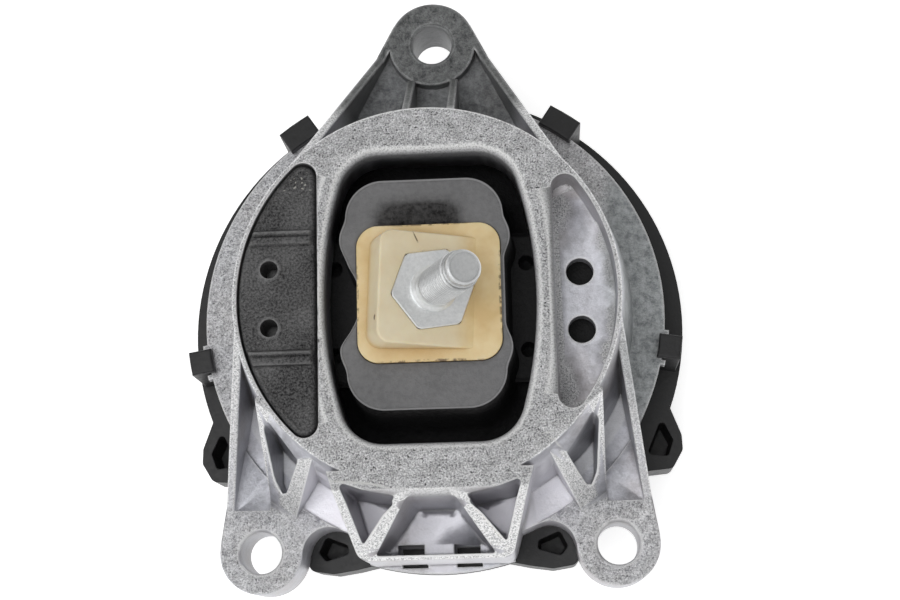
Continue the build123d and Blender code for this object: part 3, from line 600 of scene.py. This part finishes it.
# The rounded lip round the opening is painted bright where it faces up, fading as it turns down, with its
# metalness lowered: a painted highlight.
round_opening = steps(cast, spot(cast, (0, 0), 60, 80), (0.35, 0.0), (0.37, 1.0))
near_roof = steps(cast, height, (0.610, 0.0), (0.630, 1.0))
lip = both(cast, round_opening, both(cast, near_roof, steps(cast, upward, (0.88, 1.0), (0.98, 0.0))))
lip_colour = both(
    cast,
    steps(cast, upward, (0.10, (0.45, 0.45, 0.46)), (0.50, (0.70, 0.70, 0.71)), (0.80, (1.0, 1.0, 1.0))),
    steps(cast, speckle, (0.40, (0.60, 0.60, 0.60)), (0.50, (1.0, 1.0, 1.0))),
)
colour = blend_in(cast, lip, colour, lip_colour)
ear_pair_x, ear_pair_y, ring_reach = 46.9, -61.6, 8.0
on_flat = steps(cast, upward, (0.5, 0.0), (0.9, 1.0))
for ear_x in (ear_pair_x, -ear_pair_x):
    ring = steps(cast, spot(cast, (ear_x, ear_pair_y), ring_reach, ring_reach), (0.19, 0.0), (0.24, 0.6))
    colour = blend_in(cast, both(cast, ring, on_flat), colour, (0.9, 0.9, 0.9))
for centre, half_length, half_width, turned_by in (
    ((-19.0, -47.0), 9.0, 0.5, -6.0),
    ((-14.0, -47.6), 6.0, 0.35, -14.0),
    ((31.0, -38.0), 3.0, 0.35, -32.0),
    ((29.5, -36.0), 2.5, 0.3, 10.0),
):
    scratch = steps(cast, spot(cast, centre, half_length, half_width, turned_by), (0.1, 0.0), (0.5, 0.8))
    colour = blend_in(cast, scratch, colour, (0.75, 0.75, 0.74))
# Corners and hollows found by ambient occlusion are painted dark grey: painted shade.
corner = node(cast, "AmbientOcclusion", samples=3, Distance=0.0015)
painted_corner_shade = steps(cast, corner.outputs["AO"], (0.25, 0.7), (0.60, 0.0))
colour = blend_in(cast, painted_corner_shade, colour, (0.20, 0.19, 0.19))
# Sharp edges found by ambient occlusion inside the metal are painted near white, with their metalness
# lowered: partly wear, partly a painted highlight.
edge = node(cast, "AmbientOcclusion", samples=4, inside=True, Distance=0.0007)
edge_wear_and_highlight = steps(cast, edge.outputs["AO"], (0.50, 1.0), (0.88, 0.0))
colour = blend_in(cast, edge_wear_and_highlight, colour, (0.97, 0.97, 0.97))
join(cast, colour, shader_input(cast, "Base Color"))
join(
    cast,
    blend_in(cast, blasted, steps(cast, mottle, (0.3, 0.28), (0.7, 0.42)), (0.44, 0.44, 0.44)),
    shader_input(cast, "Roughness"),
)
metalness = blend_in(cast, blasted, (0.55, 0.55, 0.55), (0.95, 0.95, 0.95))
metalness = blend_in(cast, lip, metalness, (0.1, 0.1, 0.1))
join(cast, blend_in(cast, edge_wear_and_highlight, metalness, (0.2, 0.2, 0.2)), shader_input(cast, "Metallic"))
blast_height = blend_in(cast, blasted, steps(cast, speckle, (0.0, 0.42), (1.0, 0.58)), speckle)
add_bumps(cast, (mottle, 0.00016), (blast_height, 0.00030), edge=0.0008)

# The box's three bays are cut out of a copy of the casting, as wide as the real ones.
bay_floor, bar_level, bay_mouth, bay_round, bay_taper = 36.22, 50.0, 70.0, 1.1, 0.86
middle_bay = [(6.0, -50.5), (15.4, -64.1), (-15.4, -64.1), (-6.0, -50.5)]
side_bay = [(8.7, -50.3), (22.4, -47.6), (18.2, -61.5)]


def rounded(corners, radius, count=8):
    """Corners rounded by curves P(t) = (1-t)^2 A + 2t(1-t) C + t^2 B, A and B a radius from C."""
    corner = np.array(corners, float)[:, None]
    before, after = np.roll(corner, 1, axis=0) - corner, np.roll(corner, -1, axis=0) - corner
    start = corner + radius * before / np.linalg.norm(before, axis=-1, keepdims=True)
    end = corner + radius * after / np.linalg.norm(after, axis=-1, keepdims=True)
    t = np.linspace(0, 1, count)[:, None]
    return ((1 - t) ** 2 * start + 2 * t * (1 - t) * corner + t ** 2 * end).reshape(-1, 2)


def plug(corners):
    """The space of one bay: upright above the bar's level, drawn in by the taper at the floor."""
    mouth = rounded(corners, bay_round)
    middle = mouth.mean(axis=0)
    centre = 0 * mouth + middle
    rings = [centre, middle + bay_taper * (mouth - middle), mouth, mouth, centre]
    levels = [bay_floor, bay_floor, bar_level, bay_mouth, bay_mouth]
    return np.stack([np.column_stack([ring, np.full(len(ring), z)]) for ring, z in zip(rings, levels)])


casting_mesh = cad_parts["upper_housing"].data.copy()
merge(casting_mesh, turn_out=False)
casting = bpy.data.objects.new("die_casting", casting_mesh)
bpy.context.scene.collection.objects.link(casting)
plugs = [plug(middle_bay), plug(side_bay), plug([(-x, y) for x, y in side_bay])]
cutter = bpy.data.objects.new("bay_plugs", closed_mesh("bay_plugs", plugs))
bpy.context.scene.collection.objects.link(cutter)
cut = casting.modifiers.new("bays", "BOOLEAN")
cut.operation, cut.solver, cut.object = "DIFFERENCE", "EXACT", cutter
bpy.context.view_layer.update()
cut_casting = casting.evaluated_get(bpy.context.evaluated_depsgraph_get())
casting.data = bpy.data.meshes.new_from_object(cut_casting)
casting.modifiers.clear()
bpy.data.objects.remove(cutter)
casting.data.materials.clear()
casting.data.materials.append(cast)
casting.data.shade_smooth()
casting.data.set_sharp_from_angle(angle=radians(24))
even_shading = casting.modifiers.new("even_shading", "WEIGHTED_NORMAL")
even_shading.keep_sharp = True
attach(casting, "root")
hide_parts("upper_housing")


# Stop pad
# The pad of black rubber that is snapped into the left pocket by two pegs. It stops the core's
# sideways travel. Two ridges with a bead and a groove cross it; a collar stands round each hole.
pad_straight, pad_arc, pad_round, pad_top, pad_floor = -27.8, 47.9, 3.3, 67.1, 57.75
pad_tip_x = pad_straight - pad_round
pad_tip_y = np.sqrt((pad_arc - pad_round) ** 2 - pad_tip_x ** 2)
pad_touch = pad_arc * pad_tip_y / (pad_arc - pad_round)
pad_reach = pad_tip_y + pad_round
pad_outer_edge, pad_inner_edge = 0.8, 2.0
ridge_height, bead_height, groove_depth = 0.95, 0.45, 0.40
collar_height, pad_hole_radius, pad_hole_depth, pad_cell = 0.30, 2.3, 9.2, 0.33
across = np.linspace(0, 1, 61)
from_tip = pad_round * (1 - np.cos(np.linspace(0, np.pi / 2, 20, endpoint=False)))
straight_run = np.linspace(-pad_reach + pad_round, pad_reach - pad_round, 230)
along = np.concatenate([-pad_reach + from_tip, straight_run, pad_reach - from_tip[::-1]])[:, None]
tip = np.sqrt(np.maximum(pad_round ** 2 - np.maximum(np.abs(along) - pad_tip_y, 0) ** 2, 0))
left_edge = np.where(
    np.abs(along) > pad_touch,
    pad_tip_x - tip,
    -np.sqrt(np.maximum(pad_arc ** 2 - along ** 2, 0)),
)
right_edge = np.where(np.abs(along) > pad_tip_y, pad_tip_x + tip, pad_straight)
pad_x = left_edge + across * (right_edge - left_edge)
pad_y = along + 0 * across
tip_depth = pad_round - np.hypot(pad_x - pad_tip_x, np.abs(pad_y) - pad_tip_y)
tip_turn = np.arctan2(np.abs(pad_y) - pad_tip_y, pad_x - pad_tip_x)
tip_bend = np.clip(tip_turn / np.arctan2(pad_tip_y, pad_tip_x), 0, 1)
in_tip = (np.abs(pad_y) > pad_tip_y) & (np.abs(pad_y) * pad_tip_x < pad_x * pad_tip_y)
arc_depth = pad_arc - np.hypot(pad_x, pad_y)
side_depth = pad_straight - pad_x


def edge_drop(depth, radius):
    """How far a rounded edge lies below the face: radius less the height of the circle there."""
    short = np.clip(radius - depth, 0, radius)
    return radius - np.sqrt(np.maximum(radius ** 2 - short ** 2, 0))


straight_drop = edge_drop(arc_depth, pad_outer_edge) + edge_drop(side_depth, pad_inner_edge)
tip_edge = pad_inner_edge - (pad_inner_edge - pad_outer_edge) * tip_bend
pad_z = pad_top - np.where(in_tip, edge_drop(tip_depth, tip_edge), straight_drop)
for ridge_y in (16.0, -15.1):
    from_ridge = pad_y - ridge_y
    band = ridge_height * rise(from_ridge, -2.05, -1.80) * (1 - rise(from_ridge, 1.5, 2.1))
    ridge_bead = bead_height * np.exp(-(((from_ridge - 1.30) / 0.45) ** 2))
    groove = groove_depth * np.exp(-(((from_ridge - 0.35) / 0.22) ** 2))
    ends = rise(arc_depth, 0.4, 1.0) * rise(side_depth, 0.6, 1.6)
    pad_z += ends * (band + ridge_bead - groove)
end_panels = rise(np.abs(pad_y - 0.45), 17.8, 18.6) * np.where(in_tip, rise(tip_bend, 0.3, 0.7), 1)
rim_depth = np.where(in_tip, tip_depth, arc_depth)
pad_z += 0.22 * end_panels * np.exp(-(((rim_depth - 1.3) / 0.35) ** 2)) * rise(rim_depth, 0.2, 1.0)
pad_z -= 0.12 * end_panels * rise(rim_depth, 1.4, 2.4)
pad_holes = [(-39.9, 7.75), (-39.9, -7.35)]
for hole_x, hole_y in pad_holes:
    from_hole = np.hypot(pad_x - hole_x, pad_y - hole_y)
    pad_z += collar_height * rise(from_hole, 3.6, 3.0)
pad_x, pad_y, pad_z = sink_holes(
    pad_x, pad_y, pad_z, pad_holes, pad_hole_radius, pad_hole_depth, pad_cell
)
pad_grid = closed_below(pad_x, pad_y, pad_z, pad_floor, inset=0.01)
peg_profile = [(0, 58.5), (3.4, 58.5), (3.4, 53.7), (4.6, 53.7), (4.3, 52.6), (3.3, 51.3), (0, 51.3)]
peg = turned(peg_profile, 48)
pegs = [peg + (hole_x, hole_y, 0) for hole_x, hole_y in pad_holes]

pad_rubber = finish("pad_rubber", (0.050, 0.050, 0.052), 0.5)
pad_dust = grain(pad_rubber, 1700.0, 4.0, 0.75)
pad_cloud = grain(pad_rubber, 70.0, 3.0, 0.6)
pad_specks = grain(pad_rubber, 1500.0, 0.0, 0.5)
pad_colour = steps(pad_rubber, pad_dust, (0.38, (0.008, 0.008, 0.009)), (0.62, (0.110, 0.109, 0.110)))
pad_colour = blend_in(
    pad_rubber, 0.35, pad_colour,
    steps(pad_rubber, pad_cloud, (0.38, (0.025, 0.024, 0.025)), (0.62, (0.082, 0.081, 0.082))),
)
pale = steps(pad_rubber, pad_specks, (0.74, 0.0), (0.79, 0.25))
tip_dust = steps(pad_rubber, spot(pad_rubber, (-33.0, 30.5), 6.0, 4.0), (0.0, 0.0), (0.4, 1.0))
tip_dust = both(pad_rubber, tip_dust, steps(pad_rubber, pad_specks, (0.70, 0.0), (0.76, 0.7)))
pad_colour = blend_in(pad_rubber, pale, pad_colour, (0.26, 0.26, 0.26))
pad_colour = blend_in(pad_rubber, tip_dust, pad_colour, (0.45, 0.44, 0.40))
# The pad's edges are painted lighter grey: partly wear, partly a painted highlight.
pad_edges = node(pad_rubber, "AmbientOcclusion", samples=4, inside=True, Distance=0.0009)
pad_edge_wear_and_highlight = steps(pad_rubber, pad_edges.outputs["AO"], (0.5, 0.9), (0.92, 0.0))
pad_colour = blend_in(pad_rubber, pad_edge_wear_and_highlight, pad_colour, (0.22, 0.22, 0.22))
pad_corners = node(pad_rubber, "AmbientOcclusion", samples=4, Distance=0.0012)
pad_shade = steps(pad_rubber, pad_corners.outputs["AO"], (0.4, 0.9), (0.9, 0.0))
pad_colour = blend_in(pad_rubber, pad_shade, pad_colour, (0.006, 0.006, 0.006))
join(pad_rubber, pad_colour, shader_input(pad_rubber, "Base Color"))
pad_gloss = steps(pad_rubber, pad_dust, (0.3, 0.36), (0.7, 0.55))
join(pad_rubber, pad_gloss, shader_input(pad_rubber, "Roughness"))
pad_sheen = blend_in(
    pad_rubber, 0.4,
    steps(pad_rubber, pad_dust, (0.40, 0.0), (0.60, 1.0)),
    steps(pad_rubber, pad_cloud, (0.40, 0.2), (0.60, 1.0)),
)
join(pad_rubber, pad_sheen, shader_input(pad_rubber, "Specular IOR Level"))
add_bumps(pad_rubber, (pad_cloud, 0.0003), (pad_dust, 0.00022))
build("snap_in_pad", [pad_grid, *pegs], pad_rubber, "pad_rubber", "stop_pad", sharp=50.0)


# Cap
# The cap of unfilled amber nylon on the core's head, cream on its worn face and painted
# deeper in colour, as shade, in the corner along its brim. A hairline crack runs into the
# face from the edge nearest the single ear.
nylon = finish("amber_nylon", (0.76, 0.60, 0.33), 0.42)
shader_input(nylon, "Subsurface Weight").default_value = 0.2
shader_input(nylon, "Subsurface Scale").default_value = 0.002
shader_input(nylon, "Subsurface Radius").default_value = (1.0, 0.6, 0.25)
haze = grain(nylon, 60.0, 4.0, 0.6)
nylon_colour = steps(
    nylon, haze, (0.38, (0.68, 0.49, 0.23)), (0.52, (0.78, 0.61, 0.33)), (0.64, (0.84, 0.70, 0.43))
)
nylon_worn = steps(nylon, haze, (0.35, (0.74, 0.64, 0.45)), (0.65, (0.82, 0.75, 0.57)))
nylon_face = steps(nylon, level(nylon), (0.698, 0.0), (0.712, 0.75))
nylon_colour = blend_in(nylon, nylon_face, nylon_colour, nylon_worn)
# The corner along the brim, found by ambient occlusion, is painted deeper amber: painted shade.
nylon_corner_shade = node(nylon, "AmbientOcclusion", samples=4, Distance=0.004)
nylon_colour = blend_in(
    nylon,
    steps(nylon, nylon_corner_shade.outputs["AO"], (0.45, 0.9), (0.93, 0.0)),
    nylon_colour,
    (0.52, 0.33, 0.12),
)
soil = grain(nylon, 420.0, 3.0, 0.7)
for centre, half_length, half_width, turned_by, strength in (
    ((0.9, -17.7), 17.0, 0.9, 0.0, 0.9),
    ((19.1, 0.0), 0.8, 15.0, 0.0, 0.8),
    ((-17.3, -2.0), 0.7, 13.0, 0.0, 0.7),
    ((0.5, 17.7), 15.0, 0.6, 0.0, 0.7),
    ((-12.2, -7.2), 0.4, 0.9, 0.0, 1.0),
    ((-1.6, 12.6), 0.22, 3.2, 24.0, 0.9),
    ((0.2, 9.7), 0.7, 0.25, 30.0, 0.9),
):
    place = steps(nylon, spot(nylon, centre, half_length, half_width, turned_by), (0.05, 0.0), (0.45, 1.0))
    dirt = both(nylon, place, steps(nylon, soil, (0.47, 0.0), (0.56, strength)))
    nylon_colour = blend_in(nylon, dirt, nylon_colour, (0.13, 0.08, 0.04))
join(nylon, nylon_colour, shader_input(nylon, "Base Color"))
add_bumps(nylon, (haze, 0.0002), (grain(nylon, 500.0), 0.00004), edge=0.0004)
dress("core_cap", nylon)


# Stud
# The zinc-plated steel stud: a hexagon that lies flush in the cap, a smooth collar, a rolled
# thread M10 of 1.25 mm pitch, and a ringed dog point that guides the bracket over it.
stud_seat = np.array([2.2, 0.0, 73.1])
stud_along = np.array([0.341552, -0.0179, 0.939693])
stud_side = np.cross([0, 0, 1], stud_along)
stud_across = np.cross(stud_side, stud_along)
stud_across /= np.linalg.norm(stud_across)
stud_side = np.cross(stud_along, stud_across)
thread_radius, pitch, thread_depth, thread_start, thread_end = 4.95, 1.25, 0.68, 4.2, 22.6
hexagon_half, hexagon_corner = 9.6, 10.75
stud_angle = np.linspace(0, 2 * np.pi, 144, endpoint=False)
plain = [(0.0, -15.8), (4.4, -15.8), (5.0, -15.2), (5.0, -1.8)]
collar = [(5.9, 0.4), (5.9, 1.3), (5.7, 1.6), (5.25, 1.9), (5.0, 2.3), (thread_radius, 3.4)]
dog = [(4.15, 23.1), (4.15, 23.5), (4.55, 23.7), (4.6, 24.2), (4.2, 24.5), (4.15, 24.8), (4.35, 25.0)]
dog += [(4.35, 25.9), (4.2, 26.3), (3.8, 26.6), (3.55, 26.6), (3.45, 26.5), (0.0, 26.5)]
# The hexagon's radius is half its width over the cosine of the angle from a flat's middle, and
# its corners are cut round.
from_flat = (stud_angle - radians(12.0)) % radians(60.0) - radians(30.0)
hexagon = np.minimum(hexagon_half / np.cos(from_flat), hexagon_corner)
hexagon_rows = [(hexagon, -1.8), (hexagon, 0.15), (hexagon - 0.25, 0.4)]
# The thread's radius falls by a triangle wave of the height, shifted by one pitch per turn and
# cut flat at crest and root. It fades in at its start and partly out at its end.
along_thread = np.arange(thread_start - 0.8, thread_end + 0.3, 0.1)[:, None]
phase = (along_thread / pitch - stud_angle / (2 * np.pi)) % 1
tooth = np.clip(np.abs(2 * phase - 1) * 1.25 - 0.12, 0, 1)
fade = rise(along_thread, thread_start - 0.8, thread_start + 0.6)
fade *= 1 - 0.6 * rise(along_thread, thread_end - 0.8, thread_end + 0.2)
thread_r = thread_radius - fade * thread_depth * tooth
rows_r = [radius + 0 * stud_angle for radius, height in plain]
rows_r += [radius for radius, height in hexagon_rows]
rows_r += [radius + 0 * stud_angle for radius, height in collar]
rows_r += list(thread_r)
rows_r += [radius + 0 * stud_angle for radius, height in dog]
heights = [height for radius, height in plain + hexagon_rows + collar]
heights += list(along_thread[:, 0]) + [height for radius, height in dog]
stud_r, stud_h = np.stack(rows_r)[..., None], np.array(heights)[:, None, None]
stud_grid = stud_seat + stud_h * stud_along + stud_r * (
    np.cos(stud_angle)[:, None] * stud_across + np.sin(stud_angle)[:, None] * stud_side
)
zinc = finish("zinc_steel", (0.75, 0.76, 0.76), 0.35, 0.8)
zinc_pits = grain(zinc, 1300.0, 3.0, 0.7)
zinc_cloud = grain(zinc, 150.0, 4.0, 0.7)
zinc_colour = blend_in(
    zinc, 0.5,
    steps(zinc, zinc_pits, (0.35, (0.78, 0.79, 0.79)), (0.65, (0.98, 0.99, 0.99))),
    steps(zinc, zinc_cloud, (0.35, (0.76, 0.78, 0.79)), (0.65, (0.98, 0.99, 0.99))),
)
on_thread = steps(zinc, level(zinc), (0.765, 0.0), (0.775, 1.0))
zinc_colour = blend_in(zinc, on_thread, zinc_colour, both(zinc, zinc_colour, (0.74, 0.74, 0.74)))
# The thread's roots, found by ambient occlusion, are painted near black: painted shade.
shaded = node(zinc, "AmbientOcclusion", samples=4, Distance=0.0009)
thread_root_shade = both(zinc, on_thread, steps(zinc, shaded.outputs["AO"], (0.50, 0.95), (0.92, 0.0)))
zinc_colour = blend_in(zinc, thread_root_shade, zinc_colour, (0.05, 0.05, 0.05))
join(zinc, zinc_colour, shader_input(zinc, "Base Color"))
join(zinc, steps(zinc, zinc_pits, (0.3, 0.34), (0.7, 0.50)), shader_input(zinc, "Roughness"))
add_bumps(zinc, (zinc_cloud, 0.00008), (zinc_pits, 0.00006))
build("threaded_stud", [stud_grid], zinc, "zinc_steel", "stud", sharp=30.0)
